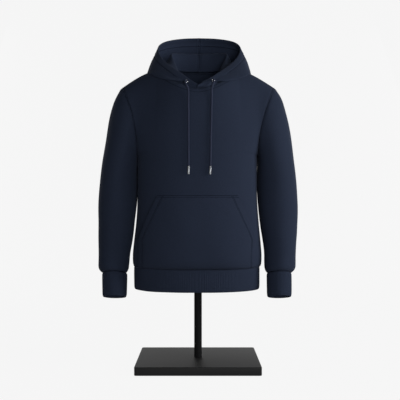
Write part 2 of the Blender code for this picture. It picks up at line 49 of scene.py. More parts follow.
NECK_FRONT = (-0.115, 0.8455)          # y, z of the neck seam at centre front
NECK_BACK = (0.062, 0.934)             # y, z at centre back
NECK_ROUND = 0.0062                    # rise of the front neck seam's rounded sides
CORD_D = 0.0055
AGLET_D = 0.0060
AGLET_L = 0.0240
BASE_W, BASE_D, BASE_T = 0.376, 0.260, 0.025
POST_D = 0.024

# torso sections: height, half width, depth in front, depth behind, roundness
TORSO = [
    (0.3113, 0.1955, 0.1310, 0.1135, 2.5),
    (0.3160, 0.1985, 0.1340, 0.1165, 2.5),
    (0.3260, 0.2003, 0.1365, 0.1190, 2.5),
    (0.3450, 0.2007, 0.1380, 0.1205, 2.5),
    (0.3800, 0.1980, 0.1380, 0.1200, 2.5),
    (0.4370, 0.1920, 0.1365, 0.1180, 2.5),
    (0.5100, 0.1870, 0.1345, 0.1160, 2.5),
    (0.5800, 0.1858, 0.1340, 0.1145, 2.5),
    (0.6550, 0.1860, 0.1340, 0.1140, 2.5),
]
# hem band sections, the same columns
HEM = [
    (0.3109, 0.1952, 0.1307, 0.1132, 2.5),
    (0.3070, 0.1956, 0.1314, 0.1140, 2.5),
    (0.2980, 0.1957, 0.1318, 0.1145, 2.5),
    (0.2700, 0.1957, 0.1315, 0.1145, 2.5),
    (0.2500, 0.1953, 0.1305, 0.1140, 2.5),
    (0.2430, 0.1935, 0.1285, 0.1120, 2.5),
]
# sleeve rings: outer x, z, inner x, z, centre y, half depth, inward bow, forward tilt in degrees
SLEEVE = [
    (0.2390, 0.8700, 0.1863, 0.6550, 0.002, 0.0700, 0.0165, 0),
    (0.2472, 0.8595, 0.1872, 0.6480, 0.002, 0.0745, 0.0140, 0),
    (0.2660, 0.8200, 0.1878, 0.6350, 0.003, 0.0780, 0.0090, 0),
    (0.2850, 0.7350, 0.1882, 0.6120, 0.004, 0.0780, 0.0030, 0),
    (0.3025, 0.6150, 0.1884, 0.5760, 0.004, 0.0730, 0.0, 0),
    (0.3103, 0.5100, 0.1898, 0.5050, -0.003, 0.0660, 0.0, 0),
    (0.3086, 0.4370, 0.1968, 0.4370, -0.011, 0.0600, 0.0, 2),
    (0.3062, 0.3610, 0.2078, 0.3610, -0.022, 0.0540, 0.0, 6),
    (0.3052, 0.3250, 0.2090, 0.3250, -0.029, 0.0510, 0.0, 9),
    (0.3035, 0.3080, 0.2098, 0.3080, -0.034, 0.0490, 0.0, 12),
    (0.2972, 0.2980, 0.2133, 0.2980, -0.037, 0.0455, 0.0, 14),
    (0.2893, 0.2930, 0.2180, 0.2930, -0.039, 0.0395, 0.0, 15),
]
CUFF = [
    (0.2888, 0.2925, 0.2185, 0.2925, -0.0392, 0.0390, 0.0, 15),
    (0.2911, 0.2890, 0.2156, 0.2890, -0.0400, 0.0410, 0.0, 15),
    (0.2911, 0.2780, 0.2151, 0.2780, -0.0430, 0.0410, 0.0, 15),
    (0.2890, 0.2450, 0.2147, 0.2450, -0.0520, 0.0400, 0.0, 15),
    (0.2878, 0.2290, 0.2147, 0.2290, -0.0560, 0.0395, 0.0, 15),
    (0.2858, 0.2215, 0.2167, 0.2215, -0.0580, 0.0375, 0.0, 15),
]
# hood, right half: way round the neck, crest x y z, bottom fold x y z, rim x y z, and the rise of
# the inner layer midway from crest to fold
HOOD = [
    (0.00, -0.0060, -0.1150, 0.8485, -0.0060, -0.1165, 0.8510, -0.0060, -0.1165, 0.8545, 0.0),
    (0.10, 0.0335, -0.1080, 0.8590, 0.0370, -0.1120, 0.8600, 0.0245, -0.1010, 0.8755, 0.0045),
    (0.20, 0.0520, -0.0830, 0.8800, 0.0770, -0.0965, 0.8735, 0.0570, -0.0720, 0.9040, 0.0085),
    (0.30, 0.0600, -0.0500, 0.9010, 0.1120, -0.0800, 0.8845, 0.0840, -0.0410, 0.9295, 0.0110),
    (0.40, 0.0630, -0.0120, 0.9260, 0.1430, -0.0560, 0.8975, 0.1090, -0.0080, 0.9570, 0.0110),
    (0.50, 0.0760, 0.0150, 0.9600, 0.1600, -0.0120, 0.9150, 0.1270, 0.0270, 0.9880, 0.0005),
    (0.60, 0.0880, 0.0430, 0.9930, 0.1650, 0.0500, 0.9100, 0.1330, 0.0580, 1.0170, -0.0200),
    (0.70, 0.0830, 0.0620, 1.0020, 0.1460, 0.1000, 0.8860, 0.1220, 0.0860, 1.0390, -0.0240),
    (0.80, 0.0620, 0.0770, 1.0050, 0.1100, 0.1350, 0.8690, 0.0960, 0.1090, 1.0540, -0.0180),
    (0.90, 0.0350, 0.0840, 1.0060, 0.0590, 0.1550, 0.8600, 0.0520, 0.1250, 1.0640, -0.0120),
    (1.00, 0.0000, 0.0860, 1.0060, 0.0000, 0.1610, 0.8570, 0.0000, 0.1300, 1.0670, -0.0100),
]
HOOD_SHIFT = 0.004       # the hood sits this far to the wearer's left
LEAN = 0.0034            # the garment's foot hangs this far to the wearer's right
FULL = 0.0035            # and its left sleeve stands this much further out
POCKET_TOP_Z, POCKET_CORNER_Z, POCKET_LOW_Z = 0.5287, 0.3980, 0.3125
POCKET_TOP_X, POCKET_CORNER_X, POCKET_LOW_X = 0.1190, 0.1715, 0.1745


def unit(v):
    v = np.asarray(v, float)
    return v / np.maximum(np.linalg.norm(v, axis=-1, keepdims=True), 1e-12)


def table(rows, at):
    """Each column of a table as a smooth curve in its first column, monotone between rows."""
    rows = np.array(rows, float)
    if rows[0, 0] > rows[-1, 0]:
        rows = rows[::-1]
    x, y = rows[:, 0], rows[:, 1:]
    d = np.diff(y, axis=0) / np.diff(x)[:, None]
    m = np.vstack([d[:1], (d[1:] + d[:-1]) / 2, d[-1:]])
    flat = np.vstack([np.zeros((1, y.shape[1]), bool), d[1:] * d[:-1] <= 0,
                      np.zeros((1, y.shape[1]), bool)])
    m[flat] = 0
    at = np.clip(np.atleast_1d(at), x[0], x[-1])
    i = np.clip(np.searchsorted(x, at, side="right") - 1, 0, len(x) - 2)
    h = (x[i + 1] - x[i])[:, None]
    t = ((at - x[i]) / (x[i + 1] - x[i]))[:, None]
    return ((2 * t**3 - 3 * t**2 + 1) * y[i] + (t**3 - 2 * t**2 + t) * h * m[i]
            + (3 * t**2 - 2 * t**3) * y[i + 1] + (t**3 - t**2) * h * m[i + 1])


def spline(points, per):
    """Catmull-Rom through points[k], shape (k, ..., 3); per[k] steps in each span."""
    p = np.array(points, float)
    p = np.concatenate([[2 * p[0] - p[1]], p, [2 * p[-1] - p[-2]]])
    out = []
    for k, n in enumerate(per):
        a, b, c, d = p[k:k + 4]
        for t in np.arange(n) / n:
            out.append(0.5 * (2 * b + (c - a) * t + (2 * a - 5 * b + 4 * c - d) * t * t
                              + (3 * b - a - 3 * c + d) * t**3))
    return np.array(out + [p[-2]])


def grid_normals(g, wrap=False):
    if wrap:
        du = np.roll(g, -1, 1) - np.roll(g, 1, 1)
    else:
        du = np.gradient(g, axis=1)
    dv = np.gradient(g, axis=0)
    return unit(np.cross(du, dv))


def settled(p):
    """Points of the garment as it hangs: its foot a little aside and its left sleeve fuller."""
    x, z = p[..., 0], p[..., 2]
    # the lean grows from the chest down; the fuller sleeve fades at its cuff and shoulder
    lean = LEAN * np.clip((0.75 - z) / 0.44, 0, 1)
    full = FULL * (np.clip((z - 0.34) / 0.07, 0, 1) * np.clip((0.875 - z) / 0.03, 0, 1)
                   * np.clip((x - 0.19) / 0.09, 0, 1))
    return np.stack([x - lean + full, p[..., 1], z], axis=-1)


def section(z, t, back, rows=TORSO):
    """Point of the torso at height z; t runs 0 at the centre line to 90 degrees at the side."""
    a, f, b, n = table(rows, z)[0]
    depth = b if back else -f
    c, s = max(cos(t), 0.0), sin(abs(t))
    side = 1 if t >= 0 else -1
    return np.array([side * a * s ** (2 / n), depth * c ** (2 / n), z])


def neck(s):
    """Neck seam: s is 0 at centre front, 0.5 at the neck point and 1 at centre back."""
    nx, ny, nz = NECK_POINT
    a = s * pi
    y0, z0 = NECK_FRONT if s <= 0.5 else NECK_BACK
    round_up = NECK_ROUND * sin(pi * s / 0.4) ** 1.5 if 0 < s < 0.4 else 0
    return np.array([nx * sin(a), ny + (y0 - ny) * abs(cos(a)),
                     nz + (z0 - nz) * abs(cos(a)) + round_up])


def armhole(phi):
    """Armhole seam: phi is 0 at the shoulder tip, 90 degrees in front, 180 at the underarm."""
    (ox, oz, ix, iz, yc, hy, bow, _) = SLEEVE[0]
    c, s = cos(phi), sin(phi)
    return np.array([(ox + ix) / 2 + (ox - ix) / 2 * c - bow * s * s,
                     yc * (1 - c * c) - hy * s, (oz + iz) / 2 + (oz - iz) / 2 * c])


def armhole_run(phi):
    """Direction of the armhole seam."""
    return unit(armhole(phi + 0.01) - armhole(phi - 0.01))


def armhole_normal(phi):
    """Way out of the cloth at the armhole seam."""
    c, s = cos(phi), sin(phi)
    n = np.array([0.25 * (1 + c) + 0.2 * s * s, -0.95 * s, c * (0.87 if c > 0 else 1.0)])
    t = armhole_run(phi)
    return unit(n - t * np.dot(n, t))


HALF_COLS = 13           # columns of a panel from its centre line to its side edge
NECK_COLS = 6            # of them, to the neck point
NECK_SHARE = NECK_COLS / HALF_COLS


def top_edge(u, back):
    """Top edge of a panel at |u|: neck seam, then shoulder seam to the tip."""
    if u <= NECK_SHARE:
        w = u / NECK_SHARE
        return neck(1 - 0.5 * w if back else 0.5 * w)
    w = (u - NECK_SHARE) / (1 - NECK_SHARE)
    nx, ny, nz = NECK_POINT
    tx, tz = SHOULDER_TIP
    lift = 0.0068 * sin(pi * w) if w < 1 else 0
    return np.array([nx + (tx - nx) * w, ny * (1 - w), nz + (tz - nz) * w + lift])


def panel_point(u, v, back):
    """Upper panel: u -1..1 across, v 0 at underarm height to 1 at neck and shoulder seams."""
    side = 1 if u >= 0 else -1
    u = abs(u)
    low = section(UNDERARM_Z, u * pi / 2, back)
    top = top_edge(u, back)
    g, k = sin(v * pi / 2), cos(v * pi / 2)
    # the powers set how early the panel leaves the underarm's section for its top edge
    p = np.array([low[0] + (top[0] - low[0]) * v ** 1.2,
                  top[1] + (low[1] - top[1]) * k ** 0.85,
                  low[2] + (top[2] - low[2]) * g])
    # the side edge runs along the armhole seam
    edge_low, edge_top = section(UNDERARM_Z, pi / 2, back), top_edge(1.0, back)
    phi = np.arccos(np.clip(2 * g - 1, -1, 1))
    seam = armhole(phi if not back else -phi)
    plain = np.array([edge_low[0] + (edge_top[0] - edge_low[0]) * v ** 1.2, 0.0,
                      edge_low[2] + (edge_top[2] - edge_low[2]) * g])
    p = p + (seam - plain) * u ** 4
    return p * np.array([side, 1, 1])


def body_front_at(x, z):
    """Point and level outward direction of the front panel below the underarm."""
    a, f, _, n = table(TORSO, z)[0]
    q = min(abs(x) / a, 0.999)
    y = -f * (1 - q ** n) ** (1 / n)
    grad = np.array([np.sign(x) * q ** (n - 1) / a, -(abs(y) / f) ** (n - 1) / f, 0])
    return np.array([x, y, z]), unit(grad)


def pocket_half_width(z):
    if z >= POCKET_CORNER_Z:
        k = (z - POCKET_CORNER_Z) / (POCKET_TOP_Z - POCKET_CORNER_Z)
        return POCKET_CORNER_X + (POCKET_TOP_X - POCKET_CORNER_X) * k
    k = (z - POCKET_LOW_Z) / (POCKET_CORNER_Z - POCKET_LOW_Z)
    return POCKET_LOW_X + (POCKET_CORNER_X - POCKET_LOW_X) * k


def ring(row, phis, first=False):
    """A ring of a sleeve or cuff; the first one lies a little more than a seam off the armhole."""
    if first:
        return [armhole(phi) + SEAM * 1.2 * unit(np.cross(armhole_normal(phi), armhole_run(phi)))
                for phi in phis]
    ox, oz, ix, iz, yc, hy, bow, tilt = row
    tip = radians(tilt)
    out = []
    for phi in phis:
        c, s = cos(phi), sin(phi)
        out.append([(ox + ix) / 2 + (ox - ix) / 2 * c - bow * s * s,
                    yc - hy * s * cos(tip),
                    (oz + iz) / 2 + (oz - iz) / 2 * c + hy * s * sin(tip)])
    return out


def disc_rings(centre, axis, turns, radii_heights):
    """Rings of points about an axis, one for each (radius, height along the axis)."""
    axis = unit(axis)
    side = unit(np.cross(axis, [0, 0, 1] if abs(axis[2]) < 0.99 else [0, 1, 0]))
    up = np.cross(axis, side)
    a = np.arange(turns) * 2 * pi / turns
    return [np.array([centre + axis * h + r * (side * cos(t) + up * sin(t)) for t in a])
            for r, h in radii_heights]


def body_skin():
    """Points on both upper body panels and the way out at each."""
    skin = []
    for back in (False, True):
        g = np.array([[panel_point(u, v, back) for u in np.linspace(-1, 1, 61)]
                      for v in np.linspace(0, 1, 41)])
        n = grid_normals(g) * (-1 if back else 1)
        skin.append((g.reshape(-1, 3), n.reshape(-1, 3)))
    return [np.concatenate(k) for k in zip(*skin)]


SKIN, SKIN_OUT = body_skin()
SKIN_TREE = KDTree(len(SKIN))
for i, p in enumerate(SKIN):
    SKIN_TREE.insert(p, i)
SKIN_TREE.balance()


HOOD_CLEAR = 0.0042      # least distance of the folded hood's outer face from the body's skin
SOFT = 0.0015            # a push grows smoothly over this much either side of that distance
REACH, FADE = 0.012, 0.004             # a skin point further aside than this no longer pushes
NEAR_WEIGHT = 0.006      # distance aside over which a skin point's say falls off
DAMPING = 0.8            # share of the wanted push made in each round


def clear_of_body(g):
    """Points of a grid, each moved straight out of the body's skin where it's too near."""
    flat = g.reshape(-1, 3).copy()
    for _ in range(3):
        near = np.array([[k for _, k, _ in SKIN_TREE.find_n(p, 8)] for p in flat])
        step, out = flat[:, None] - SKIN[near], SKIN_OUT[near]
        d = (step * out).sum(2)
        aside = np.linalg.norm(step - d[..., None] * out, axis=2)
        need = HOOD_CLEAR - d
        ease = np.where(need > -SOFT, (need + SOFT) ** 2 / (4 * SOFT), 0)
        push = np.where(need > SOFT, need, ease) * np.clip((REACH - aside) / FADE, 0, 1)
        w = np.exp(-(aside / NEAR_WEIGHT) ** 2) + 1e-9
        flat += (w[..., None] * push[..., None] * out).sum(1) / w.sum(1)[:, None] * DAMPING
    return flat.reshape(g.shape)


def eased(t):
    """0 to 1, level at both ends."""
    t = min(1.0, max(0.0, t))
    return t * t * (3 - 2 * t)


# ways round the neck between which the hood's edge turns from standing up to folded over
FOLD_START, FOLD_END = 0.08, 0.22
LAP = {True: 0.0066, False: -0.0036}   # the right half lies in front of the left one at the V
LAP_END, LAP_RUN = 0.24, 0.16          # way round the neck where that ends, and over which it fades


def hood_half(ways, per, right):
    """Grid over one hood half: round the neck by the way over the fold from neck seam to rim."""
    rows = []
    for s, v in zip(ways, table(HOOD, ways)):
        k = s * 2 * NECK_COLS
        low = min(int(k + 1e-9), 2 * NECK_COLS - 1)
        ends = neck(low / (2 * NECK_COLS)), neck((low + 1) / (2 * NECK_COLS))
        near = max(0.0, 1 - s / 0.12)
        raised = [-0.006 * near, 0, 0.0017 + 0.0012 * near]
        seam = ends[0] + (ends[1] - ends[0]) * (k - low) + raised
        crest, fold, rim, rise = v[:3], v[3:6], v[6:9], v[9]
        over = crest + (fold - crest) * (0.5 - 0.1 * eased((s - 0.4) / 0.15)) + [0, 0, rise]
        side = (fold + rim) / 2
        bulge = 0.004 * min(1, s / 0.3) + 0.012 * min(1, max(0, (s - 0.35) / 0.5))
        side = side + unit(np.array([side[0], side[1] - 0.02, 0])) * bulge
        folded = np.array([seam, crest, over, fold, side, rim])
        t = np.linspace(0, 1, 6)[:, None]
        upright = seam + (rim - seam) * t + np.array([0, -0.003, 0]) * np.sin(pi * t)
        line = upright + (folded - upright) * eased((s - FOLD_START) / (FOLD_END - FOLD_START))
        line = line * [1 if right else -1, 1, 1]
        line[1:, 0] += HOOD_SHIFT
        lap = LAP[right] * min(1.0, max(0.0, (LAP_END - s) / LAP_RUN))
        rows.append(spline(line, per) - [0, lap, 0])
    g = np.array(rows)
    g[:, 1:] = clear_of_body(g[:, 1:])
    g[-1, :, 0] = HOOD_SHIFT
    return g


# ---- camera ----
eye_data = bpy.data.cameras.new("camera")
eye_data.lens = 53.0
eye_data.sensor_width = 36.0
eye_data.shift_x = 0.005
eye_data.shift_y = 0.03125
camera = bpy.data.objects.new("camera", eye_data)
camera.location = (0.0, -1.855, 0.479)
camera.rotation_euler = (pi / 2, 0.0, 0.0)
bpy.context.scene.collection.objects.link(camera)
bpy.context.scene.camera = camera
bpy.context.scene.view_settings.view_transform = "Standard"


# ---- materials ----
def new_material(name, colour, rough, metal=0.0, sheen=0.0, tint=(1, 1, 1)):
    m = bpy.data.materials.new(name)
    m.use_nodes = True
    nt = m.node_tree
    p = nt.nodes["Principled BSDF"]
    p.inputs["Base Color"].default_value = (*colour, 1)
    p.inputs["Roughness"].default_value = rough
    p.inputs["Metallic"].default_value = metal
    p.inputs["Sheen Weight"].default_value = sheen
    p.inputs["Sheen Roughness"].default_value = 0.45
    p.inputs["Sheen Tint"].default_value = (*tint, 1)
    return m, nt, p


def noise(nt, scale, detail=2.0, stretch=(1, 1, 1)):
    where = nt.nodes.new("ShaderNodeTexCoord")
    turn = nt.nodes.new("ShaderNodeMapping")
    turn.inputs["Scale"].default_value = stretch
    n = nt.nodes.new("ShaderNodeTexNoise")
    n.inputs["Scale"].default_value = scale
    n.inputs["Detail"].default_value = detail
    nt.links.new(where.outputs["Object"], turn.inputs["Vector"])
    nt.links.new(turn.outputs["Vector"], n.inputs["Vector"])
    return n.outputs["Fac"]


def shade(nt, p, colour, fac, low, high):
    """Base colour from low to high times the colour, by noise."""
    ramp = nt.nodes.new("ShaderNodeMapRange")
    ramp.inputs["From Min"].default_value = 0.3
    ramp.inputs["From Max"].default_value = 0.7
    ramp.inputs["To Min"].default_value = low
    ramp.inputs["To Max"].default_value = high
    nt.links.new(fac, ramp.inputs["Value"])
    mix = nt.nodes.new("ShaderNodeVectorMath")
    mix.operation = "SCALE"
    mix.inputs[0].default_value = colour
    nt.links.new(ramp.outputs["Result"], mix.inputs["Scale"])
    nt.links.new(mix.outputs["Vector"], p.inputs["Base Color"])


def bump(nt, p, fac, strength, distance, under=None):
    b = nt.nodes.new("ShaderNodeBump")
    b.inputs["Strength"].default_value = strength
    b.inputs["Distance"].default_value = distance
    nt.links.new(fac, b.inputs["Height"])
    if under:
        nt.links.new(under.outputs["Normal"], b.inputs["Normal"])
    nt.links.new(b.outputs["Normal"], p.inputs["Normal"])
    return b


NAVY = (0.0184, 0.0248, 0.0436)


def cloth_material(name, colour, grain=900.0, swell=7.0, sheen=0.06):
    m, nt, p = new_material(name, colour, 0.92, sheen=sheen, tint=(0.42, 0.50, 0.70))
    p.inputs["Specular IOR Level"].default_value = 0.04
    shade(nt, p, colour, noise(nt, grain * 0.7, 3.0), 0.86, 1.14)
    big = bump(nt, p, noise(nt, swell, 3.0), 0.25, 0.004)
    bump(nt, p, noise(nt, grain, 2.0, (1, 1, 1.6)), 0.45, 0.0005, big)
    return m


def plain_material(name, colour, rough, metal=0.0, gloss=0.5, grain=600.0, mottle=0.06):
    m, nt, p = new_material(name, colour, rough, metal=metal)
    p.inputs["Specular IOR Level"].default_value = gloss
    shade(nt, p, colour, noise(nt, grain, 3.0), 1 - mottle, 1 + mottle)
    bump(nt, p, noise(nt, grain, 2.0), 0.2, 0.00005)
    return m


FLEECE_LOOK = cloth_material("fleece_navy", NAVY)
RIB_LOOK = cloth_material("rib_navy", tuple(c * 0.97 for c in NAVY), 1100.0, 9.0)
# dark thread: partly its own colour and partly painted shade of the stitch grooves; the same
# material paints the shade lines in the seam ditches
THREAD_AND_SHADE_LOOK = plain_material("thread_and_shade_navy", tuple(c * 0.25 for c in NAVY), 0.85, gloss=0.0,
                             grain=1500.0, mottle=0.2)
CORD_LOOK = cloth_material("cord_navy", (0.027, 0.032, 0.056), 1500.0, 30.0, 0.15)
SILVER_LOOK = plain_material("silver_satin", (0.24, 0.25, 0.265), 0.42, metal=1.0, grain=300.0)
RING_LOOK = plain_material("silver_polished", (0.72, 0.73, 0.75), 0.25, metal=1.0, grain=300.0)
BASE_LOOK = plain_material("base_black", (0.0085, 0.0085, 0.009), 0.50, gloss=0.11, grain=900.0)
POST_LOOK = plain_material("post_black", (0.0125, 0.0125, 0.0135), 0.60, gloss=0.0, grain=500.0)
FORM_LOOK = plain_material("form_black", (0.014, 0.014, 0.015), 0.7, grain=700.0)


# ---- building the pieces ----
def mesh_object(name, verts, faces, look):
    me = bpy.data.meshes.new(name)
    me.from_pydata(np.asarray(verts, float).tolist(), [], faces)
    me.materials.append(look)
    me.polygons.foreach_set("use_smooth", [True] * len(me.polygons))
    me.update()
    ob = bpy.data.objects.new(name, me)
    bpy.context.scene.collection.objects.link(ob)
    return ob


def finish_piece(ob, slot, *nodes):
    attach(ob, "root")
    if nodes:
        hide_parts(*nodes)


def lathe(name, rings, look, closed=False):
    """A solid skinned over rings of equal count; closed joins the last ring to the first."""
    n, count = len(rings[0]), len(rings)
    faces = []
    for r in range(count if closed else count - 1):
        for c in range(n):
            a, b = r * n + c, r * n + (c + 1) % n
            d, e = ((r + 1) % count) * n + c, ((r + 1) % count) * n + (c + 1) % n
            faces.append((a, b, e, d))
    if not closed:
        faces.append(tuple(range(n))[::-1])
        faces.append(tuple(range((count - 1) * n, count * n)))
    return mesh_object(name, np.concatenate(rings), faces, look)


# ---- drawcords, tips and eyelets ----
EYELET_R, EYELET_WIRE = 0.0046, 0.0011
BRAID_PITCH = 0.0075     # length of cord in which a strand goes once round
BRAID_LOW, BRAID_RISE = 0.93, 0.08     # share of the radius in the braid's hollows, and its relief
# profile of a tip at its upper and its lower end: inset from its radius, distance from that end
TIP_UPPER = [(0.0007, 0), (0.0002, 0.0002), (0, 0.0007), (0, 0.0017), (0.0002, 0.0020),
             (0.0002, 0.0026), (0, 0.0029)]
TIP_LOWER = [(0, 0.0030), (0.0002, 0.0027), (0.0002, 0.0021), (0, 0.0018), (0, 0.0008),
             (0.0003, 0.0003), (0.0009, 0)]
# centre of each eyelet and the way it faces
EYELETS = {
    "right": ((0.0455, -0.1092, 0.8715), (0.17, -0.81, 0.56)),
    "left": ((-0.0355, -0.1033, 0.8696), (-0.19, -0.93, 0.32)),
}
# each cord from its eyelet down to its tip
ROUTES = {
    "right": [
        (0.0456, -0.1097, 0.8718),
        (0.0461, -0.1124, 0.8737),
        (0.0467, -0.1158, 0.8732),
        (0.0470, -0.1192, 0.8695),
        (0.0466, -0.1222, 0.8640),
        (0.0455, -0.1235, 0.8585),
        (0.0430, -0.1240, 0.8520),
        (0.0410, -0.1246, 0.8450),
        (0.0405, -0.1256, 0.8360),
        (0.0405, -0.1275, 0.8200),
        (0.0400, -0.1300, 0.7990),
        (0.0395, -0.1320, 0.7780),
        (0.0390, -0.1338, 0.7540),
        (0.0385, -0.1350, 0.7320),
        (0.0380, -0.1362, 0.7050),
        (0.0375, -0.1368, 0.6770),
        (0.0370, -0.1370, 0.6500),
        (0.0362, -0.1370, 0.6150),
    ],
    "left": [
        (-0.0356, -0.1039, 0.8698),
        (-0.0362, -0.1070, 0.8708),
        (-0.0368, -0.1115, 0.8700),
        (-0.0371, -0.1172, 0.8660),
        (-0.0363, -0.1225, 0.8605),
        (-0.0345, -0.1248, 0.8550),
        (-0.0315, -0.1257, 0.8490),
        (-0.0290, -0.1265, 0.8420),
        (-0.0283, -0.1275, 0.8330),
        (-0.0282, -0.1295, 0.8170),
        (-0.0282, -0.1318, 0.7960),
        (-0.0280, -0.1336, 0.7750),
        (-0.0280, -0.1350, 0.7500),
        (-0.0279, -0.1360, 0.7290),
        (-0.0278, -0.1368, 0.7030),
        (-0.0277, -0.1372, 0.6760),
        (-0.0276, -0.1374, 0.6480),
        (-0.0275, -0.1374, 0.6150),
    ],
}


def braided_tube(name, path, radius, turns, look):
    """A closed round tube on a path, with a braid raised on its skin."""
    p = np.asarray(path)
    t = unit(np.gradient(p, axis=0))
    side = unit(np.cross(t[0], [1.0, 0, 0]))
    rings, run = [], 0.0
    for i in range(len(p)):
        side = unit(side - t[i] * (side @ t[i]))
        up = np.cross(t[i], side)
        if i:
            run += float(np.linalg.norm(p[i] - p[i - 1]))
        ring = []
        for k in range(turns):
            a = k * 2 * pi / turns
            lay = run / BRAID_PITCH * 2 * pi
            weave = 0.5 * (abs(sin(2 * a + lay)) + abs(sin(2 * a - lay)))
            r = radius * (BRAID_LOW + BRAID_RISE * weave)
            ring.append(p[i] + (side * cos(a) + up * sin(a)) * r)
        rings.append(np.array(ring))
    return lathe(name, rings, look)


for side in ("right", "left"):
    centre, out = np.array(EYELETS[side][0]), np.array(EYELETS[side][1])
    profile = [(EYELET_R + EYELET_WIRE * cos(a), EYELET_WIRE * sin(a))
               for a in np.arange(20) * 2 * pi / 20]
    rings = disc_rings(centre, out, 64, profile)
    ob = lathe("eyelet_%s_ring" % side, rings, RING_LOOK, closed=True)
    finish_piece(ob, "silver_metal", "eyelet_" + side)
    route = np.array(ROUTES[side])
    path = spline(route, [14] * (len(route) - 1))
    ob = braided_tube("drawcord_%s_braid" % side, path, CORD_D / 2, 24, CORD_LOOK)
    finish_piece(ob, "cord", "drawcord_" + side)
    down = unit(route[-1] - route[-2])
    top, wide = route[-1] + down * SEAM, AGLET_D / 2
    shape = [(wide - inset, at) for inset, at in TIP_UPPER]
    shape += [(wide - inset, AGLET_L - at) for inset, at in TIP_LOWER]
    tip = lathe("aglet_%s_tip" % side, disc_rings(top, down, 40, shape), SILVER_LOOK)
    finish_piece(tip, "silver_metal", "aglet_" + side)


# ---- sampling a surface ----
def grid_lengths(g, axis):
    step = np.linalg.norm(np.diff(g, axis=axis), axis=2).mean(axis=1 - axis)
    return np.concatenate([[0], np.cumsum(step)])


def spread(length, step, start, end):
    """Distances from 0 to length: the given ones near each end and even steps between."""
    a, b = max(start) + step / 2, length - max(end) - step / 2
    n = max(2, int(round((b - a) / step)))
    far = [length - d for d in sorted(end, reverse=True)]
    return np.array(sorted(start) + list(np.linspace(a, b, n)) + far)


def distances(p):
    """How far along a line each of its points lies."""
    return np.concatenate([[0], np.cumsum(np.linalg.norm(np.diff(p, axis=0), axis=1))])


def nearest(values, at):
    return int(np.argmin(abs(values - at)))


def along(g, axis, at):
    """The grid's rows or columns at these mean distances."""
    where = grid_lengths(g, axis)
    g = np.moveaxis(g, axis, 0)
    i = np.clip(np.searchsorted(where, at, side="right") - 1, 0, len(where) - 2)
    t = ((at - where[i]) / (where[i + 1] - where[i]))[:, None, None]
    return np.moveaxis(g[i] * (1 - t) + g[i + 1] * t, 0, axis)


EDGE = (0.0, 0.0003, 0.0007, 0.0012, 0.0022)                 # rows at a plain rounded edge
SEAMED = EDGE + (0.0038, 0.0052, 0.0060, 0.0068, 0.0085)      # and at a topstitched seam
STITCH_AT = 0.0060


def edge_thin(d, radius=0.0011):
    """Share of the wall's thickness left at a distance d from its rounded edge."""
    k = np.clip(1 - d / radius, 0, 1)
    return np.maximum(np.sqrt(1 - k * k), 0.28)


def seam_relief(d):
    """Height of a sewn, topstitched edge at a distance d from the seam."""
    return (-0.0008 * np.exp(-(d / 0.0016) ** 2) + 0.0004 * np.exp(-((d - 0.0033) / 0.0016) ** 2)
            - 0.0009 * np.exp(-((d - STITCH_AT) / 0.0011) ** 2))


def ripple(p, size, height, seed):
    """Gentle uneven swell, the same each run."""
    rng = np.random.default_rng(seed)
    h = np.zeros(p.shape[:-1])
    for _ in range(7):
        k = unit(rng.normal(size=3)) * 2 * pi / (size * rng.uniform(0.7, 1.6))
        h += np.sin(p @ k + rng.uniform(0, 2 * pi))
    return h / 7 * height * 1.6


# ---- cloth walls, stitches and painted seam shade lines ----
def grid_faces(rows, cols, wrap, base=0, flip=False):
    out = []
    for r in range(rows - 1):
        for c in range(cols if wrap else cols - 1):
            a, b = base + r * cols + c, base + r * cols + (c + 1) % cols
            f = (a, b, b + cols, a + cols)
            out.append(f[::-1] if flip else f)
    return out


def cloth(name, outer, n, share, thick, look, wrap=False):
    """A closed cloth wall from its outer points; share is the part of the wall left near edges."""
    thick = np.broadcast_to(thick, outer.shape[:2])
    mid = outer - n * (thick / 2)[..., None]
    half = n * (thick / 2 * share)[..., None]
    out, inn = settled(mid + half), settled(mid - half)
    rows, cols = out.shape[:2]
    k = rows * cols
    faces = grid_faces(rows, cols, wrap) + grid_faces(rows, cols, wrap, k, True)
    span = range(cols if wrap else cols - 1)
    for c in span:
        a, b = c, (c + 1) % cols
        faces.append((a, a + k, b + k, b))
        a, b = a + (rows - 1) * cols, b + (rows - 1) * cols
        faces.append((a, b, b + k, a + k))
    if not wrap:
        for r in range(rows - 1):
            a, d = r * cols, (r + 1) * cols
            faces.append((a, d, d + k, a + k))
            a, d = a + cols - 1, d + cols - 1
            faces.append((a, a + k, d + k, d))
    ob = mesh_object(name, np.concatenate([out.reshape(-1, 3), inn.reshape(-1, 3)]), faces, look)
    return ob, out, inn


# rows of a seam allowance: how far past the seam, how deep under the neighbour, lean of the normal
TUCK = ((0.0045, 0.0034, 0.0), (0.0022, 0.0032, 0.3), (0.0006, 0.0022, 2.0), (0.0002, 0.0010, 3.0))


def tucked(g, n, share):
    """The piece with its seam allowance before its first row, turned in under its neighbour."""
    away = g[0] - g[4]
    away = unit(away - (away * n[0]).sum(-1, keepdims=True) * n[0])
    rows = np.array([g[0] + away * past - n[0] * deep for past, deep, _ in TUCK])
    out = np.array([unit(n[0] + away * lean) for _, _, lean in TUCK])
    thin = np.full((len(TUCK), g.shape[1]), 0.28)
    return np.concatenate([rows, g]), np.concatenate([out, n]), np.concatenate([thin, share])


STITCH, GAP, THREAD = 0.0029, 0.0007, 0.00042          # length, gap between, thread radius
SHADE_LINE_RADIUS = 0.0007           # radius of the dark line of painted shade that lies in the ditch of a seam
THREAD_SIDES = 5
stitch_and_shade_verts, stitch_and_shade_faces = [], []     # every stitch and every painted seam shade line goes in here
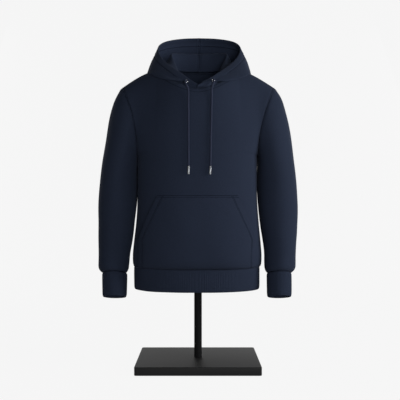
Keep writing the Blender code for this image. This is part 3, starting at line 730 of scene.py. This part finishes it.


def add_strand(centres, sides, ups, radii):
    """Adds a closed dark strand round its centres, each with the two directions across it; stitches
    and painted seam shade lines are both made of these.
    """
    base, last = len(stitch_and_shade_verts), len(centres) - 1
    for centre, side, up, r in zip(centres, sides, ups, radii):
        for w in np.arange(THREAD_SIDES) * 2 * pi / THREAD_SIDES:
            stitch_and_shade_verts.append(centre + (side * cos(w) + up * sin(w)) * r)
    for c in range(last):
        first = base + c * THREAD_SIDES
        for a in range(THREAD_SIDES):
            u, v = first + a, first + (a + 1) % THREAD_SIDES
            stitch_and_shade_faces.append((u, v, v + THREAD_SIDES, u + THREAD_SIDES))
    stitch_and_shade_faces.append(tuple(base + a for a in range(THREAD_SIDES))[::-1])
    stitch_and_shade_faces.append(tuple(base + last * THREAD_SIDES + a for a in range(THREAD_SIDES)))


def seam_shade_line(points, normals, sink=0.0002):
    """Adds an unbroken dark line of painted shade in the ditch of a seam."""
    p, m = np.asarray(points), unit(np.asarray(normals))
    side = unit(np.cross(np.gradient(p, axis=0), m))
    add_strand(p - m * sink, side, m, [SHADE_LINE_RADIUS] * len(p))


def stitch_row(points, normals, lift=0.00012):
    """Adds small thread loops along a line on the cloth."""
    p, n = np.asarray(points), unit(normals)
    where = distances(p)
    for i in range(int(where[-1] // (STITCH + GAP))):
        at = i * (STITCH + GAP) + GAP / 2 + STITCH * np.array([0.0, 0.22, 0.78, 1.0])
        q = np.stack([np.interp(at, where, p[:, k]) for k in range(3)], 1)
        m = unit(np.stack([np.interp(at, where, n[:, k]) for k in range(3)], 1))
        side = unit(np.cross(unit(q[-1] - q[0]), m))
        q = q + m * (np.array([-0.5, 1.0, 1.0, -0.5]) * THREAD * 0.5 + lift)[:, None]
        add_strand(q, side, m, [THREAD * k for k in (0.35, 1.0, 1.0, 0.35)])


# ---- body panels ----
def body_grid(back, cols, zs, vs):
    rows = [[section(z, u * pi / 2, back) for u in cols] for z in zs]
    rows += [[panel_point(u, v, back) for u in cols] for v in vs]
    return np.array(rows)


FOOT_Z, SPLIT_Z = 0.3113, 0.648        # the panels' lower edge, and where their lower part ends
PANEL_STEP = 0.0042
FOOT_FADE = 0.004        # near its lower edge a panel's normals turn level over this height
ARM_STITCH_FROM = 0.348  # distance up a panel from which its side edge is topstitched
NECK_ARC_ROW = -17       # row of the front panel that carries the painted shade line of the topstitch round the neck
NECK_ARC_HALF = 0.105    # and how far that reaches to each side
LINE_SINK = 0.0004       # how deep the painted shade line along a stitched line lies in the cloth


def body_panel(back):
    name = "back" if back else "front"
    dense = body_grid(back, np.linspace(-1, 1, 141), np.linspace(FOOT_Z, SPLIT_Z, 70),
                      np.linspace(0, 1, 80))
    if back:
        dense = dense[:, ::-1]
    rows = spread(grid_lengths(dense, 0)[-1], PANEL_STEP, SEAMED, SEAMED)
    cols = spread(grid_lengths(dense, 1)[-1], PANEL_STEP, SEAMED, SEAMED)
    g = along(along(dense, 0, rows), 1, cols)
    n = grid_normals(g)
    dr = np.minimum(rows, rows[-1] - rows)[:, None]
    dc = np.minimum(cols, cols[-1] - cols)[None]
    foot = np.exp(-(rows / FOOT_FADE) ** 2)[:, None]
    lift = seam_relief(dr) + seam_relief(dc) + ripple(g, 0.16, 0.0012, 5 + back)
    n[..., 2] *= 1 - foot
    g = g + n * lift[..., None]
    g[:, :, 1] += SEAM / 2 if back else -SEAM / 2
    n = grid_normals(g)
    n = unit(np.concatenate([n[..., :2], n[..., 2:] * (1 - foot)[..., None]], axis=-1))
    share = edge_thin(dr) * edge_thin(dc)
    ob, out, _ = cloth("body_%s_cloth" % name, g, n, share, FLEECE, FLEECE_LOOK)
    finish_piece(ob, "fleece", "body_" + name)
    k, upper = nearest(cols, STITCH_AT), nearest(rows, ARM_STITCH_FROM)
    for c in (k, len(cols) - 1 - k):
        stitch_row(out[upper:, c], n[upper:, c])
    for r in (nearest(rows, STITCH_AT), nearest(rows, rows[-1] - STITCH_AT)):
        stitch_row(out[r], n[r])
    # painted shade: a dark line in the seam ditch along each side edge
    for c in (0, -1):
        seam_shade_line(out[:, c], n[:, c])
    # painted shade: a dark line along the topstitched arc round the front neck
    if not back:
        r, arc = NECK_ARC_ROW, abs(out[NECK_ARC_ROW, :, 0]) < NECK_ARC_HALF
        seam_shade_line(out[r, arc], n[r, arc], LINE_SINK)
    return ob, g


for back in (False, True):
    ob, g = body_panel(back)


# ---- sleeves, cuffs and hem band ----
def mirrored(g):
    return g[:, ::-1] * np.array([-1, 1, 1])


AROUND_FINE = np.arange(120) * 2 * pi / 120
sleeve_dense = spline([ring(r, AROUND_FINE, k == 0) for k, r in enumerate(SLEEVE)],
                      [12, 14, 20, 24, 24, 20, 20, 12, 10, 10, 8])
for side, flip in (("right", False), ("left", True)):
    g = mirrored(sleeve_dense) if flip else sleeve_dense
    rows = spread(grid_lengths(g, 0)[-1], 0.0045, SEAMED, EDGE)
    g = along(g, 0, rows)
    n = grid_normals(g, wrap=True)
    d = rows[:, None]
    end = (rows[-1] - rows)[:, None]
    lift = (-0.0006 * np.exp(-(d / 0.0014) ** 2)
            + ripple(g, 0.13, 0.0014, 11 + flip) * np.clip(d / 0.05, 0, 1))
    g = g + n * lift[..., None]
    n = grid_normals(g, wrap=True)
    first = np.array([armhole_normal(p) for p in AROUND_FINE])
    first = first[::-1] * [-1, 1, 1] if flip else first
    for r, away in enumerate(rows):
        w = np.exp(-(away / FOOT_FADE) ** 2)
        n[r] = unit(n[r] * (1 - w) + first * w)
    share = edge_thin(d) * edge_thin(end) * np.ones(g.shape[:2])
    ob, _, _ = cloth("sleeve_%s_cloth" % side, *tucked(g, n, share), FLEECE, FLEECE_LOOK, wrap=True)
    finish_piece(ob, "fleece", "sleeve_" + side)


RIB_DEPTH = 0.0003


def ribbed(node, rings, per, ribs, level=False):
    """A rib-knit tube with the given number of ribs round it; level turns its first rows so."""
    g = spline(rings, per)
    rows = spread(grid_lengths(g, 0)[-1], 0.0050, EDGE, EDGE)
    g = along(g, 0, rows)
    n = grid_normals(g, wrap=True)
    turn = np.arange(g.shape[1]) * 2 * pi * ribs / g.shape[1]
    d = np.minimum(rows, rows[-1] - rows)[:, None]
    fade = np.clip(d / 0.003, 0.25, 1)
    g = g + n * (RIB_DEPTH * np.cos(turn)[None] * fade + ripple(g, 0.07, 0.0006, 3))[..., None]
    n[:4] = unit(n[:4] * [1, 1, 0]) if level else n[:4]
    share = edge_thin(d) * np.ones(g.shape[:2])
    ob, _, _ = cloth(node + "_rib", *tucked(g, n, share), RIB, RIB_LOOK, wrap=True)
    finish_piece(ob, "rib_knit", node)
    return ob, g


CUFF_RIBS = 60
around = np.arange(CUFF_RIBS * 5) * 2 * pi / (CUFF_RIBS * 5)
cuff_rings = np.array([ring(r, around) for r in CUFF])
for side, flip in (("right", False), ("left", True)):
    rings = mirrored(cuff_rings) if flip else cuff_rings
    ob, g = ribbed("cuff_" + side, rings, [6, 8, 12, 10, 8], CUFF_RIBS)

HEM_RIBS = 240
turns = np.linspace(-pi / 2, pi / 2, HEM_RIBS * 2 + 1)
hem_rings = []
for row in HEM:
    hem_rings.append([section(row[0], t, False, HEM) for t in turns]
                     + [section(row[0], -t, True, HEM) for t in turns[1:-1]])
ob, g = ribbed("hem_band", np.array(hem_rings)[:, ::-1], [5, 7, 12, 10, 6], HEM_RIBS, level=True)


# ---- hood ----
def by_row(g, start, end, inner):
    """Each row at fixed distances from both its ends and even steps between."""
    out, gone, left = [], [], []
    for row in g:
        where = distances(row)
        length = where[-1]
        k = min(1.0, length / (max(start) + max(end)) * 0.8)
        a, b = np.array(start) * k, length - np.array(end)[::-1] * k
        mid = np.linspace(a[-1], b[0], inner + 2)[1:-1]
        at = np.concatenate([a, mid, b])
        out.append(np.stack([np.interp(at, where, row[:, i]) for i in range(3)], 1))
        gone.append(at)
        left.append(length - at)
    return np.array(out), np.array(gone), np.array(left)


def relaxed(g, rounds, across, pace=0.6):
    """The grid with its small creases smoothed; across is the share that works over the fold."""
    g = g.copy()
    for _ in range(rounds):
        other = g[-2:-1] * [-1, 1, 1] + [2 * HOOD_SHIFT, 0, 0]
        p = np.concatenate([g, other])
        along_neck = (p[:-2, 1:-1] + p[2:, 1:-1]) / 2
        over_fold = (g[1:, :-2] + g[1:, 2:]) / 2
        mean = along_neck * (1 - across) + over_fold * across
        g[1:, 1:-1] += (mean - g[1:, 1:-1]) * pace
    return g


def evened(g, rounds, keep=12):
    """Rows evened out against their neighbours, but for those near both seams."""
    g = g.copy()
    for _ in range(rounds):
        mean = (g[keep - 1:-keep - 1] + g[keep + 1:len(g) - keep + 1]) / 2
        g[keep:-keep] += (mean - g[keep:-keep]) * 0.6
    return g


def room_inside(g, n):
    """The radius of the tightest bend at and near each point of a grid."""
    room = np.full(g.shape[:2], 1.0)
    for axis in (0, 1):
        step = np.linalg.norm(np.diff(g, axis=axis), axis=2)
        turn = np.linalg.norm(np.diff(n, axis=axis), axis=2)
        radius = np.moveaxis(step / np.maximum(turn, 1e-6), axis, 0)
        view = np.moveaxis(room, axis, 0)
        view[1:] = np.minimum(view[1:], radius)
        view[:-1] = np.minimum(view[:-1], radius)
    for reach in range(4):
        p = np.pad(room, 1, mode="edge")
        near = [p[1:-1, 1:-1], p[2:, 1:-1], p[:-2, 1:-1], p[1:-1, 2:], p[1:-1, :-2]]
        room = np.min(near, axis=0) if reach < 2 else np.mean(near, axis=0)
    return room


# the lower edge hangs this much further down near the front, by way round the neck
DROOP = ([0.0, 0.09, 0.14, 0.21, 0.25, 0.29, 0.34, 0.46, 0.55],
         [0, 0.0010, 0.0065, 0.0080, 0.0070, 0.0055, 0.0045, 0.0045, 0.0030])
# the columns over the crest and the lower edge, which the last smoothing rounds off
ROUND_FOLDS = 0.6 * np.array([exp(-((c - 32) / 5) ** 2) + exp(-((c - 7) / 4) ** 2)
                              for c in range(1, 58)])[:, None]


def drooped(g):
    columns = np.interp(np.arange(g.shape[1]), [14, 28, 36, 54], [0, 1, 1, 0])
    drop = np.interp(np.linspace(0, 1, len(g)), *DROOP)
    g = g - (drop[:, None] * columns)[..., None] * np.array([0, 0, 1.0])
    g[:, 1:] = clear_of_body(g[:, 1:])
    return g


def sewn_down(g, right):
    """Near the front V the seam edge of each half runs back and down to the body's neck edge."""
    gone = np.concatenate([np.zeros((len(g), 1)),
                           np.cumsum(np.linalg.norm(np.diff(g, axis=1), axis=2), axis=1)], axis=1)
    ways = np.linspace(0, 1, len(g))
    pull = (1 - np.clip(gone / 0.009, 0, 1)) ** 2 * np.clip((0.26 - ways) / 0.08, 0, 1)[:, None]
    lap = LAP[right] * np.clip((LAP_END - ways) / LAP_RUN, 0, 1)[:, None]
    g = g.copy()
    g[..., 1] += lap * pull * (1 if right else 0.2)
    g[..., 2] -= 0.0030 * pull
    return g


CHANNEL = 0.027          # width of the edge channel, from the rim to its stitched line
RIM_BULK = 0.016         # the doubled, stuffed part of the edge channel
HOOD_WALL, RIM_EXTRA = 0.0021, 0.0044  # wall of the hood's cloth, and what that part adds to it
for side, right in (("right", True), ("left", False)):
    dense = hood_half(np.linspace(0, 1, 97), [6, 14, 12, 14, 12], right)
    dense = relaxed(relaxed(drooped(dense), 14, 0.0), 6, 0.5)
    dense = sewn_down(relaxed(dense, 4, 1.0, ROUND_FOLDS), right)
    steps = spread(grid_lengths(dense, 0)[-1], 0.0034, EDGE, SEAMED)
    g = along(dense, 0, steps)
    rim_at = EDGE + (0.0040, 0.0060, 0.0090, 0.0125, 0.0160, 0.0195, 0.0225, 0.0245, 0.0256, 0.0263,
                     0.0270, 0.0277, 0.0284, 0.0300, 0.0330)
    g, gone, left = by_row(g, EDGE, rim_at, 96)
    g = evened(g, 8)
    flip = -1 if right else 1
    n = grid_normals(g) * flip
    end = (steps[-1] - steps)[:, None] * np.ones(g.shape[:2])
    lift = seam_relief(end)
    lift += ripple(g, 0.11, 0.0012, 21 + right) * np.clip(gone / 0.03, 0, 1)
    lift += -0.0006 * np.exp(-((left - CHANNEL) / 0.0009) ** 2)
    lift += 0.0010 * np.clip((CHANNEL - left) / 0.004, 0, 1) * np.clip(left / 0.004, 0, 1)
    g = g + n * lift[..., None]
    n = grid_normals(g) * flip
    n[-1] = unit(n[-1] * [0, 1, 1])
    n[-2] = unit(n[-2] * [0.4, 1, 1])
    thick = HOOD_WALL + RIM_EXTRA * np.clip((RIM_BULK - left) / 0.009, 0, 1)
    tight = np.clip(room_inside(g, n) * 0.7, 0.0004, 1)
    thick = np.where((gone > 0.006) & (left > 0.03), np.minimum(thick, tight), thick)
    share = np.where(left < 0.01, edge_thin(left, 0.0033), 1) * edge_thin(gone)
    share = share * edge_thin(end, 0.0005) * edge_thin(steps)[:, None]
    k = nearest(left[len(left) // 2], CHANNEL)
    ob, out, inn = cloth("hood_%s_cloth" % side, g[::flip], n[::flip], share[::flip], thick[::flip],
                         FLEECE_LOOK)
    finish_piece(ob, "fleece", "hood_" + side)
    long = (abs(left[:, k] - CHANNEL) < 0.0008)[::flip]
    # each channel line gets stitches and a dark line of painted shade along their groove
    for skin, away in ((out[:, k], n[::flip][:, k]), (inn[:, k], -n[::flip][:, k])):
        stitch_row(skin[long], away[long])
        seam_shade_line(skin[long], away[long], LINE_SINK)
    # painted shade: a dark line along the hood's centre seam
    if right:
        for skin, away in ((out[0], n[-1]), (inn[0], -n[-1])):
            line = skin[2:-2] - [SEAM / 2, 0, 0]
            seam_shade_line(line, away[2:-2], 0.0003)


# ---- pocket ----
POCKET_GAP = 0.0014      # the pocket's inner face stands off the body this far at its edges
POCKET_STAND = 0.0090    # and this much further in its middle
POCKET_STITCHES = (0.019, 0.023)       # distances of its two stitched lines from a hand edge


def pocket_point(u, z):
    wide = pocket_half_width(z)
    up = (z - POCKET_LOW_Z) / (POCKET_TOP_Z - POCKET_LOW_Z)
    rise = sin(pi * min(max(up, 0), 1)) ** 0.6
    shut = min(max((POCKET_CORNER_Z + 0.02 - z) / 0.05, 0), 1)
    p, out = body_front_at(u * wide, z)
    edge = (1 - 0.3 * u * u) * (1 - shut) + (1 - u ** 6) * shut
    return p + out * (POCKET_GAP + FLEECE + POCKET_STAND * rise * edge)


dense = np.array([[pocket_point(u, z) for u in np.linspace(-1, 1, 91)]
                  for z in np.linspace(POCKET_LOW_Z, POCKET_TOP_Z, 80)])
steps = spread(grid_lengths(dense, 0)[-1], 0.0040, EDGE, SEAMED)
g = along(dense, 0, steps)
side_at = EDGE + (0.0045, 0.0080, 0.0120, 0.0155, 0.0175, 0.0185, 0.0190, 0.0195, 0.0205, 0.0215,
                  0.0225, 0.0230, 0.0235, 0.0245, 0.0270)
g, gone, left = by_row(g, side_at, side_at, 66)
n = grid_normals(g)
near = np.minimum(gone, left)
end = (steps[-1] - steps)[:, None]
inner, outer = (np.exp(-((near - at) / 0.0008) ** 2) for at in POCKET_STITCHES)
lift = seam_relief(end) * np.ones(near.shape)
lift += ripple(g, 0.12, 0.0008, 31) - 0.0004 * (inner + outer)
g = g + n * lift[..., None]
n = grid_normals(g)
share = edge_thin(near) * edge_thin(end) * edge_thin(steps)[:, None]
ob, out, inn = cloth("pocket_cloth", g, n, share, FLEECE, FLEECE_LOOK)
finish_piece(ob, "fleece", "pocket")
mid = len(left) // 2
for at in POCKET_STITCHES:
    c = nearest(gone[mid], at)
    for col in (c, out.shape[1] - 1 - c):
        stitch_row(out[:, col], n[:, col])
r = nearest(end[:, 0], STITCH_AT)
stitch_row(out[r], n[r])
# painted shade: a dark line at the pocket's sewn top edge
seam_shade_line(inn[-1] + [0, 0, SHADE_LINE_RADIUS], n[-1])
# painted shade: a dark line along the inner stitched line of each hand edge
c = nearest(gone[mid], POCKET_STITCHES[0])
for col in (c, out.shape[1] - 1 - c):
    seam_shade_line(out[:, col], n[:, col], LINE_SINK)
# painted shade: a dark line in the gap beside each side edge of the pocket
for c, side in ((0, -1), (-1, 1)):
    seam_shade_line(out[:, c] + [side * SHADE_LINE_RADIUS, 0, 0], n[:, c], FLEECE)
# one mesh holds the stitches and the painted seam shade lines
finish_piece(mesh_object("topstitching_and_seam_shade", stitch_and_shade_verts, stitch_and_shade_faces, THREAD_AND_SHADE_LOOK), "fleece")

# ---- stand ----
BASE_CORNER, BASE_ROUND = 0.007, 0.0018              # radii of its corners and of its top edge
outline = []
for qx, qy, start in ((1, 1, 0), (-1, 1, 1), (-1, -1, 2), (1, -1, 3)):
    for k in range(13):
        a = (start + k / 12) * pi / 2
        outline.append((qx * (BASE_W / 2 - BASE_CORNER), qy * (BASE_D / 2 - BASE_CORNER),
                        cos(a), sin(a)))
layers = [(BASE_CORNER - 0.0010, 0), (BASE_CORNER - 0.0003, 0.0003), (BASE_CORNER, 0.0010),
          (BASE_CORNER, BASE_T - BASE_ROUND)]
layers += [(BASE_CORNER - BASE_ROUND * (1 - cos(a)), BASE_T - BASE_ROUND * (1 - sin(a)))
           for a in np.linspace(0, pi / 2, 6)[1:]]
rings = [np.array([[x + r * c, y + r * s, z] for x, y, c, s in outline]) for r, z in layers]
finish_piece(lathe("stand_base_board", rings, BASE_LOOK), "base_black", "stand_base")

YOKE_T, YOKE_MID_Z = 0.016, 0.850
z0, z1 = BASE_T + SEAM, YOKE_MID_Z - YOKE_T - SEAM
post = [(POST_D / 2 - 0.0004, z0), (POST_D / 2, z0 + 0.0004), (POST_D / 2, z1 - 0.0004),
        (POST_D / 2 - 0.0004, z1)]
finish_piece(lathe("stand_post_tube", disc_rings(np.zeros(3), [0, 0, 1.0], 72, post), POST_LOOK),
             "post_black", "stand_post")

YOKE_HALF = 0.195        # half length of the hidden shoulder form
yoke = []
for x in np.linspace(-YOKE_HALF, YOKE_HALF, 121):
    shoulder = SHOULDER_TIP[0] - NECK_POINT[0]
    u = NECK_SHARE + (1 - NECK_SHARE) * (abs(x) - NECK_POINT[0]) / shoulder
    ridge = top_edge(max(u, NECK_SHARE + 1e-6), False)
    dip = eased((0.150 - abs(x)) / 0.110)
    top = (ridge[2] - FLEECE - 0.0016) * (1 - dip) + YOKE_MID_Z * dip
    mid = ridge[1] * (1 - dip)
    half = 0.015 - 0.0075 * min(max((abs(x) - 0.135) / 0.045, 0), 1)
    loop = [(0.0, 0.0), (0.30, 0.0003), (0.55, 0.0008), (0.80, 0.0022), (0.95, 0.0036), (1, 0.0052),
            (1, YOKE_T - 0.0035), (0.93, YOKE_T - 0.0012), (0.8, YOKE_T - 0.0002), (0.6, YOKE_T)]
    loop = loop + [(-a, d) for a, d in loop[:0:-1]]
    yoke.append(np.array([[x, mid + half * a, top - d] for a, d in loop][::-1]))
finish_piece(lathe("shoulder_yoke_form", yoke, FORM_LOOK), "form_black", "shoulder_yoke")

# ---- floor and light ----
BACKDROP_GLOW, WORLD_GLOW = 0.908, 0.913               # both a pale grey to the camera
profile = [(-2.6, 0.0), (1.3, 0.0)] + [(1.3 + 1.2 * sin(a), 1.2 - 1.2 * cos(a))
                                        for a in np.linspace(0, pi / 2, 25)[1:]] + [(2.5, 4.5)]
verts = [(x, y, z) for y, z in profile for x in (-4.0, 4.0)]
faces = [(2 * i, 2 * i + 1, 2 * i + 3, 2 * i + 2) for i in range(len(profile) - 1)]
pale, nt, p = new_material("backdrop_pale", (0.02, 0.02, 0.02), 0.9)
p.inputs["Specular IOR Level"].default_value = 0.0
p.inputs["Emission Color"].default_value = (1, 1, 1, 1)
p.inputs["Emission Strength"].default_value = BACKDROP_GLOW
drop = mesh_object("backdrop", verts, faces, pale)
drop.visible_diffuse = False

world = bpy.data.worlds.new("studio")
world.use_nodes = True
world.node_tree.nodes["Background"].inputs["Color"].default_value = (1, 1, 1, 1)
world.node_tree.nodes["Background"].inputs["Strength"].default_value = WORLD_GLOW
bpy.context.scene.world = world
world.cycles_visibility.diffuse = False
world.cycles_visibility.glossy = False


LIT_POINT = Vector((0.0, 0.0, 0.6))
LIGHT_DISTANCE = 3.0


def studio_light(name, azimuth, elevation, size, power):
    """A square light aimed at the garment, by its angles right of the camera and upwards."""
    a, e = radians(azimuth), radians(elevation)
    where = Vector((sin(a) * cos(e), -cos(a) * cos(e), sin(e))) * LIGHT_DISTANCE + LIT_POINT
    data = bpy.data.lights.new(name, "AREA")
    data.size = size
    data.energy = power
    light = bpy.data.objects.new(name, data)
    light.location = where
    light.rotation_euler = (LIT_POINT - where).to_track_quat("-Z", "Y").to_euler()
    bpy.context.scene.collection.objects.link(light)


studio_light("key", 75, 13, 1.3, 77)
studio_light("front", 11, -6, 1.2, 53)
studio_light("fill", -42, 13, 1.4, 8)
studio_light("back_key", 150, 10, 1.5, 40)
studio_light("back_fill", -140, 10, 1.5, 26)
